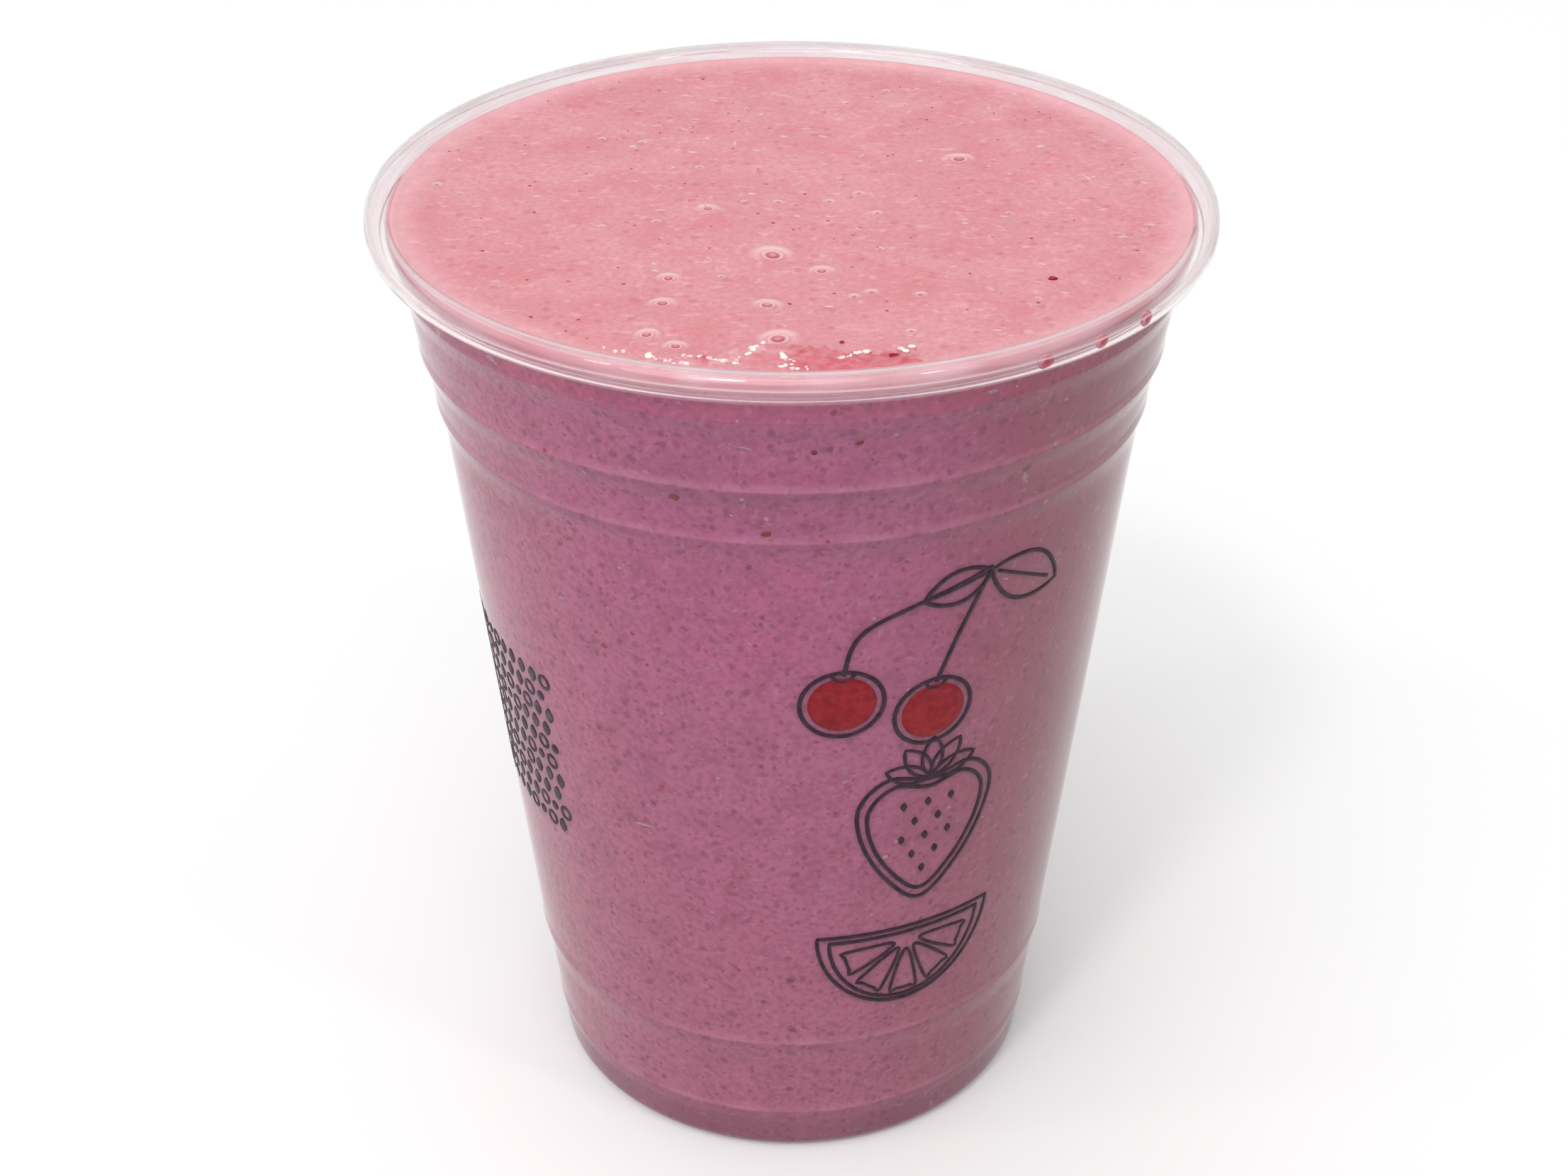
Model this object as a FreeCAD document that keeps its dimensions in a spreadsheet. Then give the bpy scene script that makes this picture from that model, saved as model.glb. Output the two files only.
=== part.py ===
# Fruit smoothie in a clear plastic cup.
#
# Lengths are in mm. The cup stands on z = 0 with its axis on Z.
# Two pieces: the cup, a thin drawn wall with step rings and a rolled rim,
# and the smoothie, which fills it to just under the rim.
# Both start from one outline, the cup's inside: the cup is that shape shelled
# outwards, the smoothie is that shape cut off at the drink's level, so that
# the two meet face to face.

import FreeCAD, Part
import math
import os
import Sketcher

os.makedirs("parts", exist_ok=True)
doc = FreeCAD.newDocument("FruitSmoothie")

# ---------------------------------------------------------------- sizes

SIZES = [
    ("cup_height", 120.3, "foot to the top of the rolled rim"),
    ("rim_diameter", 98.0, "over the rolled rim"),
    ("foot_diameter", 61.6, "over the foot, before the heel is rounded"),
    ("wall", 0.4, "thickness of the plastic"),
    ("roll_width", 3.0, "rolled rim, across"),
    ("roll_side", 0.6, "rolled rim, upright stretch of its outside"),
    ("roll_tuck", 70.0, "slope of the roll's tucked-in lip, degrees"),
    ("neck_height", 1.6, "upright wall just under the roll"),
    ("neck_run", 0.55, "how far the top ring's edge is inside the neck"),
    ("collar_drop", 6.8, "rim top down to the edge of the top ring"),
    ("middle_drop", 16.0, "rim top down to the edge of the middle ring"),
    ("lower_drop", 23.1, "rim top down to the edge of the lower ring"),
    ("collar_taper", 0.14, "how fast the wall widens among the rings"),
    ("ring_step", 0.55, "how far each ring stands out"),
    ("ring_shoulder", 2.4, "height of the slope under each ring"),
    ("stack_height", 19.9, "foot up to the edge of the stacking ring"),
    ("stack_step", 0.4, "how far the stacking ring stands out"),
    ("stack_shoulder", 3.4, "height of the slope under the stacking ring"),
    ("heel_height", 7.1, "foot up to the heel's edge"),
    ("heel_step", 0.15, "how far the heel's edge stands out"),
    ("heel_shoulder", 1.5, "height of the slope under the heel's edge"),
    ("heel_round", 2.5, "rounding of the heel, outside"),
    ("foot_width", 4.3, "width of the ring that the cup stands on"),
    ("foot_round", 1.2, "rounding of the foot's inner edge, outside"),
    ("push_up", 3.2, "how far the base is pushed up"),
    ("push_run", 1.6, "sideways run of the pushed-up base's side"),
    ("scallop_round", 14.0, "hollow rounding under each ring"),
    ("neck_round", 8.0, "rounding where the wall turns upright, inside"),
    ("drink_drop", 1.9, "rim top down to the drink"),
    ("meniscus", 1.2, "radius of the hollow where the drink climbs the wall"),
]

# Worked out from the sizes: corners of the cup's inside, as r and z.
DERIVED = [
    ("roll_radius", "roll_width / 2"),
    ("roll_hollow", "roll_radius - wall"),
    ("roll_middle", "rim_diameter / 2 - roll_radius"),
    ("roll_top_z", "cup_height - roll_radius"),
    ("roll_low_z", "roll_top_z - roll_side"),
    ("neck_r", "rim_diameter / 2 - roll_width"),
    ("neck_z", "roll_top_z - neck_height"),
    ("collar_z", "cup_height - collar_drop"),
    ("middle_z", "cup_height - middle_drop"),
    ("lower_z", "cup_height - lower_drop"),
    ("collar_r", "neck_r - neck_run"),
    ("middle_r", "collar_r - ring_step - collar_taper * (collar_z - middle_z)"),
    ("lower_r", "middle_r - ring_step - collar_taper * (middle_z - lower_z)"),
    ("foot_r", "foot_diameter / 2 - wall"),
    ("heel_inner_round", "heel_round - wall"),
    ("foot_inner_round", "foot_round - wall"),
    ("body_taper", "(lower_r - ring_step - foot_r - heel_step - stack_step) / lower_z"),
    ("heel_r", "foot_r + body_taper * heel_height + heel_step"),
    ("stack_r", "heel_r + body_taper * (stack_height - heel_height) + stack_step"),
    ("under_heel_r", "heel_r - heel_step - body_taper * heel_shoulder"),
    ("under_heel_z", "heel_height - heel_shoulder"),
    ("under_stack_r", "stack_r - stack_step - body_taper * stack_shoulder"),
    ("under_stack_z", "stack_height - stack_shoulder"),
    ("under_lower_r", "lower_r - ring_step - body_taper * ring_shoulder"),
    ("under_lower_z", "lower_z - ring_shoulder"),
    ("under_middle_r", "middle_r - ring_step - collar_taper * ring_shoulder"),
    ("under_middle_z", "middle_z - ring_shoulder"),
    ("under_collar_r", "collar_r - ring_step - collar_taper * ring_shoulder"),
    ("under_collar_z", "collar_z - ring_shoulder"),
    ("base_z", "push_up + wall"),
    ("base_r", "foot_diameter / 2 - foot_width - push_run + wall"),
    ("inner_foot_r", "foot_diameter / 2 - foot_width + wall"),
    ("drink_z", "cup_height - drink_drop"),
    ("clear_r", "neck_r + 2 * wall"),
    ("clear_z", "cup_height + 2 * wall"),
]

sizes = doc.addObject("Spreadsheet::Sheet", "Sizes")
row = 0
for name, value, note in SIZES:
    row += 1
    sizes.set(f"A{row}", name)
    sizes.set(f"B{row}", str(value))
    sizes.set(f"C{row}", note)
    sizes.setAlias(f"B{row}", name)
for name, formula in DERIVED:
    row += 1
    sizes.set(f"A{row}", name)
    sizes.set(f"B{row}", "=" + formula)
    sizes.setAlias(f"B{row}", name)
doc.recompute()

# The inside of the cup, from the middle of the base up to the neck: r, z and,
# where the corner is rounded, its radius.
INSIDE = [
    (None, "base_z", None),
    ("base_r", "base_z", "foot_round"),
    ("inner_foot_r", "wall", "foot_inner_round"),
    ("foot_r", "wall", "heel_inner_round"),
    ("under_heel_r", "under_heel_z", None),
    ("heel_r", "heel_height", None),
    ("under_stack_r", "under_stack_z", "scallop_round"),
    ("stack_r", "stack_height", None),
    ("under_lower_r", "under_lower_z", "scallop_round"),
    ("lower_r", "lower_z", None),
    ("under_middle_r", "under_middle_z", "scallop_round"),
    ("middle_r", "middle_z", None),
    ("under_collar_r", "under_collar_z", "scallop_round"),
    ("collar_r", "collar_z", None),
    ("neck_r", "neck_z", "neck_round"),
]

# ---------------------------------------------------------------- helpers

ORIGIN = (-1, 1)  # the sketch's own origin, as Sketcher numbers it
UPRIGHT = -2  # and its vertical axis


def size(name):
    return float(sizes.get(name))


def new_sketch(body, name):
    """A sketch on the body's XZ plane: its x is the radius, its y is the height."""
    sketch = body.newObject("Sketcher::SketchObject", name)
    plane = next(f for f in body.Origin.OriginFeatures if f.Role == "XZ_Plane")
    sketch.AttachmentSupport = [(plane, "")]
    sketch.MapMode = "FlatFace"
    return sketch


def bind(sketch, constraint, label, formula):
    """Adds a constraint whose value follows the sheet."""
    sketch.renameConstraint(sketch.addConstraint(constraint), label)
    sketch.setExpression(f"Constraints.{label}", formula)


def hold(sketch, element, point, r_name, z_name):
    """Ties a sketch point to a radius and a height. With no radius it lies on the axis."""
    if r_name is None:
        sketch.addConstraint(Sketcher.Constraint("PointOnObject", element, point, UPRIGHT))
    else:
        across = Sketcher.Constraint("DistanceX", *ORIGIN, element, point, size(r_name))
        bind(sketch, across, f"Across_{element}_{point}", f"Sizes.{r_name}")
    up = Sketcher.Constraint("DistanceY", *ORIGIN, element, point, size(z_name))
    bind(sketch, up, f"Up_{element}_{point}", f"Sizes.{z_name}")


def outline(sketch, corners):
    """A closed outline round the corners, anticlockwise, with its rounded corners as
    arcs. A rounded corner stays in the sketch as a point that both its lines run to."""
    spots = [FreeCAD.Vector(size(r) if r else 0, size(z), 0) for r, z, _ in corners]
    count = len(corners)
    come, leave, bends = list(spots), list(spots), {}
    for i, (r, z, rounding) in enumerate(corners):
        if not rounding:
            continue
        back = (spots[i - 1] - spots[i]).normalize()
        on = (spots[(i + 1) % count] - spots[i]).normalize()
        half, radius = back.getAngle(on) / 2, size(rounding)
        come[i] = spots[i] + back * (radius / math.tan(half))
        leave[i] = spots[i] + on * (radius / math.tan(half))
        centre = spots[i] + (back + on).normalize() * (radius / math.sin(half))
        left = back.cross(on).z < 0
        first, last = (come[i], leave[i]) if left else (leave[i], come[i])
        angles = [math.atan2((p - centre).y, (p - centre).x) for p in (first, last)]
        bends[i] = (centre, radius, angles, left)

    lines = [sketch.addGeometry(Part.LineSegment(leave[i], come[(i + 1) % count]), False)
             for i in range(count)]
    for i, (r, z, rounding) in enumerate(corners):
        before, after = lines[i - 1], lines[i]
        if not rounding:
            sketch.addConstraint(Sketcher.Constraint("Coincident", before, 2, after, 1))
            hold(sketch, after, 1, r, z)
            continue
        centre, radius, angles, left = bends[i]
        circle = Part.Circle(centre, FreeCAD.Vector(0, 0, 1), radius)
        arc = sketch.addGeometry(Part.ArcOfCircle(circle, *angles), False)
        start, end = (1, 2) if left else (2, 1)
        sketch.addConstraint(Sketcher.Constraint("Tangent", before, 2, arc, start))
        sketch.addConstraint(Sketcher.Constraint("Tangent", arc, end, after, 1))
        corner = sketch.addGeometry(Part.Point(spots[i]), True)
        sketch.addConstraint(Sketcher.Constraint("PointOnObject", corner, 1, before))
        sketch.addConstraint(Sketcher.Constraint("PointOnObject", corner, 1, after))
        hold(sketch, corner, 1, r, z)
        bind(sketch, Sketcher.Constraint("Radius", arc, radius), f"Round_{arc}",
             f"Sizes.{rounding}")


def revolve(body, sketch, name, kind="PartDesign::Revolution"):
    turned = body.newObject(kind, name)
    turned.Profile = sketch
    turned.ReferenceAxis = (sketch, ["V_Axis"])
    turned.Angle = 360
    doc.recompute()
    return turned


def inside_of_cup(body, top):
    """The space inside the cup as a solid, up to the height called top."""
    sketch = new_sketch(body, "Inside" + body.Name)
    outline(sketch, INSIDE + [("neck_r", top, None), (None, top, None)])
    return revolve(body, sketch, "Turned" + body.Name)


# ---------------------------------------------------------------- cup

cup = doc.addObject("PartDesign::Body", "Cup")
cup.Label = "cup"
inside = inside_of_cup(cup, "roll_top_z")

# The wall is grown outwards from the inside, open at the top.
top_face = max(range(len(inside.Shape.Faces)),
               key=lambda i: inside.Shape.Faces[i].BoundBox.ZMin)
shell = cup.newObject("PartDesign::Thickness", "Wall")
shell.Base = (inside, [f"Face{top_face + 1}"])
shell.setExpression("Value", "Sizes.wall")
shell.Reversed = False
shell.Mode = "Skin"
shell.Join = "Intersection"
doc.recompute()

# The rim: the wall carries on up, over and down, and is tucked in underneath.
rim = new_sketch(cup, "RollSection")
mid, top_z, low_z = size("roll_middle"), size("roll_top_z"), size("roll_low_z")
outer, hollow = size("roll_radius"), size("roll_hollow")
lip = math.radians(size("roll_tuck") - 180)


def rim_arc(z, radius, start, end):
    circle = Part.Circle(FreeCAD.Vector(mid, z, 0), FreeCAD.Vector(0, 0, 1), radius)
    return rim.addGeometry(Part.ArcOfCircle(circle, start, end), False)


def rim_line(r0, z0, r1, z1):
    ends = FreeCAD.Vector(r0, z0, 0), FreeCAD.Vector(r1, z1, 0)
    return rim.addGeometry(Part.LineSegment(*ends), False)


over = rim_arc(top_z, outer, 0, math.pi)
over_in = rim_arc(top_z, hollow, 0, math.pi)
joint = rim_line(mid - outer, top_z, mid - hollow, top_z)
side = rim_line(mid + outer, top_z, mid + outer, low_z)
side_in = rim_line(mid + hollow, top_z, mid + hollow, low_z)
under = rim_arc(low_z, outer, lip, 0)
under_in = rim_arc(low_z, hollow, lip, 0)
tip = rim_line(mid + outer * math.cos(lip), low_z + outer * math.sin(lip),
               mid + hollow * math.cos(lip), low_z + hollow * math.sin(lip))

START, END, CENTRE = 1, 2, 3
for a, at_a, b, at_b in [
    (over, START, side, START), (side, END, under, END), (under, START, tip, START),
    (tip, END, under_in, START), (under_in, END, side_in, END),
    (side_in, START, over_in, START), (over_in, END, joint, END), (joint, START, over, END),
    (over, CENTRE, over_in, CENTRE), (under, CENTRE, under_in, CENTRE),
]:
    rim.addConstraint(Sketcher.Constraint("Coincident", a, at_a, b, at_b))
for a, at_a, centre in [(over, START, over), (over, END, over), (over_in, START, over),
                        (over_in, END, over), (under, END, under), (under_in, END, under)]:
    rim.addConstraint(Sketcher.Constraint("Horizontal", a, at_a, centre, CENTRE))
rim.addConstraint(Sketcher.Constraint("Vertical", side))
rim.addConstraint(Sketcher.Constraint("Vertical", side_in))
hold(rim, over, CENTRE, "roll_middle", "roll_top_z")
hold(rim, under, CENTRE, "roll_middle", "roll_low_z")
bind(rim, Sketcher.Constraint("Radius", over, outer), "Outer", "Sizes.roll_radius")
bind(rim, Sketcher.Constraint("Radius", over_in, hollow), "Hollow", "Sizes.roll_hollow")
rim.addConstraint(Sketcher.Constraint("PointOnObject", under, CENTRE, tip))
bind(rim, Sketcher.Constraint("Angle", tip, math.radians(size("roll_tuck"))), "Tuck",
     "Sizes.roll_tuck * 1 deg")
revolve(cup, rim, "Roll")

# ---------------------------------------------------------------- smoothie

smoothie = doc.addObject("PartDesign::Body", "Smoothie")
smoothie.Label = "smoothie"
full = inside_of_cup(smoothie, "cup_height")

# All that is over the drink is cut away. It climbs a little where it meets the wall.
above = new_sketch(smoothie, "AboveDrink")
outline(above, [(None, "drink_z", None), ("neck_r", "drink_z", "meniscus"),
                ("clear_r", "clear_z", None), (None, "clear_z", None)])
revolve(smoothie, above, "Level", "PartDesign::Groove")
if smoothie.Shape.Volume >= full.Shape.Volume:
    raise RuntimeError("nothing was cut away over the drink")

# ---------------------------------------------------------------- checks and export

doc.recompute()
for thing in doc.Objects:
    if "Invalid" in thing.State or "Error" in thing.State:
        raise RuntimeError(f"{thing.Name}: {thing.State}")
for piece in (cup, smoothie):
    shape = piece.Shape
    if shape.isNull() or not shape.isValid() or len(shape.Solids) != 1:
        raise RuntimeError(f"{piece.Label} isn't one sound solid")
    shape.exportStep(f"parts/{piece.Label}.step")
    box = shape.BoundBox
    print(f"{piece.Label}: {shape.Volume:.1f} mm3, faces {len(shape.Faces)}, "
          f"r {box.XMax:.3f}, z {box.ZMin:.3f} to {box.ZMax:.3f}")
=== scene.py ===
"""A fruit smoothie in its clear plastic cup. Blender 4.5, metres, one row frame with the CAD.

The cup's outline is the same as in part.py: the same named sizes, in millimetres. Azimuths are
in degrees round the cup from its front, positive to the right.
"""

import math

import bpy
import numpy as np
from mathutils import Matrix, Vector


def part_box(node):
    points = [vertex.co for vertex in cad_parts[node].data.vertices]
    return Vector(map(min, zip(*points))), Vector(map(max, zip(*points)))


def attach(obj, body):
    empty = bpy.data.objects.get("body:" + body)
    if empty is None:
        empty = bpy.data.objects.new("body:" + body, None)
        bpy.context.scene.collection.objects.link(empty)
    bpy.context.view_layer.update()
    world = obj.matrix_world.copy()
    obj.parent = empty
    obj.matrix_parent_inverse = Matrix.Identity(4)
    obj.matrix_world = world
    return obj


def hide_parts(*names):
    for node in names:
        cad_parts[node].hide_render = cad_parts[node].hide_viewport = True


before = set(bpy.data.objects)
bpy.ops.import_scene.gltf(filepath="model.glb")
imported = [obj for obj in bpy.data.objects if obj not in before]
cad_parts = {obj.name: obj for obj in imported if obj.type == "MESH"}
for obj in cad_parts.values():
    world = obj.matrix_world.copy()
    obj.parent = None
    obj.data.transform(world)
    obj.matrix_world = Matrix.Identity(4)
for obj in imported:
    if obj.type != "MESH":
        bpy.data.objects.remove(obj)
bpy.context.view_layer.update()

MM = 0.001
scene = bpy.context.scene

# ---------------------------------------------------------------- sizes, in millimetres

CUP_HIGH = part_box("cup")[1]
CUP_HEIGHT = CUP_HIGH.z / MM
RIM_R = CUP_HIGH.x / MM
FOOT_R = 30.8
WALL = 0.4
ROLL_WIDTH = 3.0
ROLL_SIDE = 0.6
ROLL_TUCK = 70
NECK_HEIGHT = 1.6
NECK_RUN = 0.55
COLLAR_DROP = 6.8
MIDDLE_DROP = 16.0
LOWER_DROP = 23.1
COLLAR_TAPER = 0.14
RING_STEP = 0.55
RING_SHOULDER = 2.4
STACK_HEIGHT = 19.9
STACK_STEP = 0.4
STACK_SHOULDER = 3.4
HEEL_HEIGHT = 7.1
HEEL_STEP = 0.15
HEEL_SHOULDER = 1.5
HEEL_ROUND = 2.5
FOOT_WIDTH = 4.3
FOOT_ROUND = 1.2
PUSH_UP = 3.2
PUSH_RUN = 1.6
SCALLOP_ROUND = 14.0
NECK_ROUND = 8.0
DRINK_DROP = 1.9
MENISCUS = 1.2
MENISCUS_RISE = 0.36
EDGE_ROUND = 0.25
UPRIGHT = 1.3
INTO_WALL = 0.15
LID_R = 45.85
LID_FINE_R = 38
OUTLINE_STEP = 1.2
CUP_SEGMENTS = 204
DRINK_SEGMENTS = 320

ROLL_R = ROLL_WIDTH / 2
ROLL_HOLLOW = ROLL_R - WALL
ROLL_MIDDLE = RIM_R - ROLL_R
ROLL_TOP_Z = CUP_HEIGHT - ROLL_R
ROLL_LOW_Z = ROLL_TOP_Z - ROLL_SIDE
NECK_R = RIM_R - ROLL_WIDTH
NECK_Z = ROLL_TOP_Z - NECK_HEIGHT
COLLAR_Z = CUP_HEIGHT - COLLAR_DROP
MIDDLE_Z = CUP_HEIGHT - MIDDLE_DROP
LOWER_Z = CUP_HEIGHT - LOWER_DROP
COLLAR_R = NECK_R - NECK_RUN
MIDDLE_R = COLLAR_R - RING_STEP - COLLAR_TAPER * (COLLAR_Z - MIDDLE_Z)
LOWER_R = MIDDLE_R - RING_STEP - COLLAR_TAPER * (MIDDLE_Z - LOWER_Z)
INNER_R = FOOT_R - WALL
BODY_TAPER = (LOWER_R - RING_STEP - INNER_R - HEEL_STEP - STACK_STEP) / LOWER_Z
HEEL_R = INNER_R + BODY_TAPER * HEEL_HEIGHT + HEEL_STEP
STACK_R = HEEL_R + BODY_TAPER * (STACK_HEIGHT - HEEL_HEIGHT) + STACK_STEP
DRINK_Z = CUP_HEIGHT - DRINK_DROP
BASE_Z = PUSH_UP + WALL
BASE_R = FOOT_R - FOOT_WIDTH - PUSH_RUN + WALL


def ring(r, z, step, taper, shoulder, scallop):
    """The corners at one ring: under it, on its edge, and over its short upright run."""
    return [(r - step - taper * shoulder, z - shoulder, scallop), (r, z, EDGE_ROUND),
            (r + 0.03, z + UPRIGHT, 2.5)]


INSIDE = [
    (0, BASE_Z, 0),
    (BASE_R, BASE_Z, FOOT_ROUND),
    (FOOT_R - FOOT_WIDTH + WALL, WALL, FOOT_ROUND - WALL),
    (INNER_R, WALL, HEEL_ROUND - WALL),
    *ring(HEEL_R, HEEL_HEIGHT, HEEL_STEP, BODY_TAPER, HEEL_SHOULDER, 3.0),
    *ring(STACK_R, STACK_HEIGHT, STACK_STEP, BODY_TAPER, STACK_SHOULDER, SCALLOP_ROUND),
    *ring(LOWER_R, LOWER_Z, RING_STEP, BODY_TAPER, RING_SHOULDER, SCALLOP_ROUND),
    *ring(MIDDLE_R, MIDDLE_Z, RING_STEP, COLLAR_TAPER, RING_SHOULDER, SCALLOP_ROUND * 0.5),
    *ring(COLLAR_R, COLLAR_Z, RING_STEP, COLLAR_TAPER, RING_SHOULDER, SCALLOP_ROUND * 0.5),
    (NECK_R, NECK_Z, NECK_ROUND * 0.5),
]

# ---------------------------------------------------------------- outlines


def line_points(a, b, step):
    """Points from a up to b, b left out, no further apart than step."""
    count = max(1, math.ceil(math.dist(a, b) / step))
    return [(a[0] + (b[0] - a[0]) * i / count, a[1] + (b[1] - a[1]) * i / count)
            for i in range(count)]


def rounded_outline(corners, step):
    """An open line round the corners, each rounded by its own radius. Returns points
    and, for each, the direction square to the line, away from the cup's inside."""
    spots = [np.array(c[:2], float) for c in corners]
    runs = []
    for i, corner in enumerate(corners):
        radius = corner[2]
        if i in (0, len(corners) - 1) or radius == 0:
            runs.append([spots[i]])
            continue
        back = spots[i - 1] - spots[i]
        on = spots[i + 1] - spots[i]
        back /= np.linalg.norm(back)
        on /= np.linalg.norm(on)
        half = math.acos(max(-1, min(1, float(back @ on)))) / 2
        start = spots[i] + back * radius / math.tan(half)
        middle = (back + on) / np.linalg.norm(back + on)
        centre = spots[i] + middle * radius / math.sin(half)
        turn = math.pi - 2 * half
        count = max(3, math.ceil(turn / math.radians(7)), math.ceil(radius * turn / step))
        side = back[0] * on[1] - back[1] * on[0]
        spoke = start - centre
        run = []
        for k in range(count + 1):
            angle = turn * k / count * (-1 if side > 0 else 1)
            c, s = math.cos(angle), math.sin(angle)
            run.append(centre + np.array([c * spoke[0] - s * spoke[1],
                                          s * spoke[0] + c * spoke[1]]))
        runs.append(run)
    points = []
    for i, run in enumerate(runs):
        points += [tuple(p) for p in run]
        if i + 1 < len(runs):
            points += line_points(run[-1], runs[i + 1][0], step)[1:]
    points = np.array(points)
    along = np.gradient(points, axis=0)
    along /= np.linalg.norm(along, axis=1)[:, None]
    out = np.stack([along[:, 1], -along[:, 0]], axis=1)
    out[0] = (0, -1)
    return points, out


def arc(r, z, radius, start, end, count):
    """Points on an arc, in count steps from start to end, in degrees."""
    angles = np.radians(np.linspace(start, end, count + 1))
    return np.stack([r + radius * np.cos(angles), z + radius * np.sin(angles)], axis=1)


INSIDE_LINE, OUTWARD = rounded_outline(INSIDE + [(NECK_R, ROLL_TOP_Z, 0)],
                                       OUTLINE_STEP)
OUTSIDE_LINE = INSIDE_LINE + OUTWARD * WALL
OUTSIDE_LINE[-1] = (NECK_R + WALL, ROLL_TOP_Z)


def radius_at(line, z):
    """The radius of one of the cup's lines at height z, on its side."""
    side = line[line[:, 0] > FOOT_R - 1]
    return np.interp(z, side[:, 1], side[:, 0])


def wall_r(z):
    """The cup's outside radius."""
    return radius_at(OUTSIDE_LINE, z)


def inside_r(z):
    """The cup's inside radius."""
    return radius_at(INSIDE_LINE, z)


# ---------------------------------------------------------------- meshes


def mesh_object(name, points, faces, material, body="root"):
    """A smooth-shaded object from points in millimetres, riding on a body of the frame."""
    mesh = bpy.data.meshes.new(name)
    mesh.from_pydata((np.asarray(points, float) * MM).tolist(), [], faces)
    mesh.validate()
    mesh.materials.append(material)
    for face in mesh.polygons:
        face.use_smooth = True
    mesh.update()
    thing = bpy.data.objects.new(name, mesh)
    scene.collection.objects.link(thing)
    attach(thing, body)
    return thing


def turned(section, segments):
    """Points and faces of a section turned round the z axis. Its ends lie on the axis."""
    angle = np.linspace(0, 2 * math.pi, segments, endpoint=False)
    inner = section[1:-1]
    x = inner[:, 0][:, None] * np.cos(angle)
    y = inner[:, 0][:, None] * np.sin(angle)
    z = np.repeat(inner[:, 1][:, None], segments, axis=1)
    points = np.stack([x, y, z], axis=2).reshape(-1, 3)
    faces = []
    for i in range(len(inner) - 1):
        for j in range(segments):
            k = (j + 1) % segments
            faces.append((i * segments + j, i * segments + k,
                          (i + 1) * segments + k, (i + 1) * segments + j))
    low, high = len(points), len(points) + 1
    last = (len(inner) - 1) * segments
    points = np.vstack([points, [0, 0, section[0][1]], [0, 0, section[-1][1]]])
    for j in range(segments):
        k = (j + 1) % segments
        faces.append((low, k, j))
        faces.append((high, last + j, last + k))
    return points, faces


def waves(seed, count, shortest, longest):
    """A smooth uneven height over x and y: many waves of random direction. Near -1 to 1."""
    rng = np.random.default_rng(seed)
    length = np.exp(rng.uniform(math.log(shortest), math.log(longest), count))
    heading = rng.uniform(0, 2 * math.pi, count)
    phase = rng.uniform(0, 2 * math.pi, count)
    kx = 2 * math.pi / length * np.cos(heading)
    ky = 2 * math.pi / length * np.sin(heading)

    def height(x, y):
        total = np.zeros(np.shape(x))
        for a, b, c in zip(kx, ky, phase):
            total = total + np.sin(a * x + b * y + c)
        return total / math.sqrt(count) * 0.8

    return height


class Heap:
    """Many small forms gathered into one piece. shade is a number per point, which the
    piece's material reads."""

    def __init__(self):
        self.points = []
        self.faces = []
        self.shade = []

    def add(self, points, faces, shade=0.0):
        first = len(self.points)
        self.points += [tuple(p) for p in points]
        self.faces += [tuple(first + i for i in face) for face in faces]
        self.shade += list(shade) if np.ndim(shade) else [shade] * len(points)

    def piece(self, name, material, slot):
        thing = mesh_object(name, self.points, self.faces, material)
        layer = thing.data.attributes.new("shade", "FLOAT", "POINT")
        layer.data.foreach_set("value", self.shade)
        return thing


def blob(centre, along, across, out, rng, rough=0.18, rows=6, columns=12):
    """An uneven closed lump: three half axes, as vectors in millimetres."""
    centre, along, across, out = (np.array(v, float) for v in (centre, along, across, out))
    points = []
    for i in range(1, rows):
        tilt = math.pi * i / rows
        for j in range(columns):
            turn = 2 * math.pi * j / columns
            reach = 1 + rng.uniform(-rough, rough)
            points.append(centre + reach * (along * math.cos(turn) * math.sin(tilt)
                                            + across * math.sin(turn) * math.sin(tilt))
                          + out * math.cos(tilt))
    faces = []
    for i in range(rows - 2):
        for j in range(columns):
            k = (j + 1) % columns
            faces.append((i * columns + j, (i + 1) * columns + j,
                          (i + 1) * columns + k, i * columns + k))
    over, under = len(points), len(points) + 1
    points += [centre + out, centre - out]
    last = (rows - 2) * columns
    for j in range(columns):
        k = (j + 1) % columns
        faces.append((over, j, k))
        faces.append((under, last + k, last + j))
    return points, faces


def side_frame(azimuth):
    """Across and outward directions on the cup's side."""
    a = math.radians(azimuth)
    return np.array([math.cos(a), math.sin(a), 0]), np.array([math.sin(a), -math.cos(a), 0])


# ---------------------------------------------------------------- material helpers


def srgb(red, green, blue):
    """A colour as seen on a screen, 0 to 255, as the renderer's own numbers."""
    values = []
    for part in (red, green, blue):
        part /= 255
        values.append(part / 12.92 if part <= 0.04045 else ((part + 0.055) / 1.055) ** 2.4)
    return (*values, 1)


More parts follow.
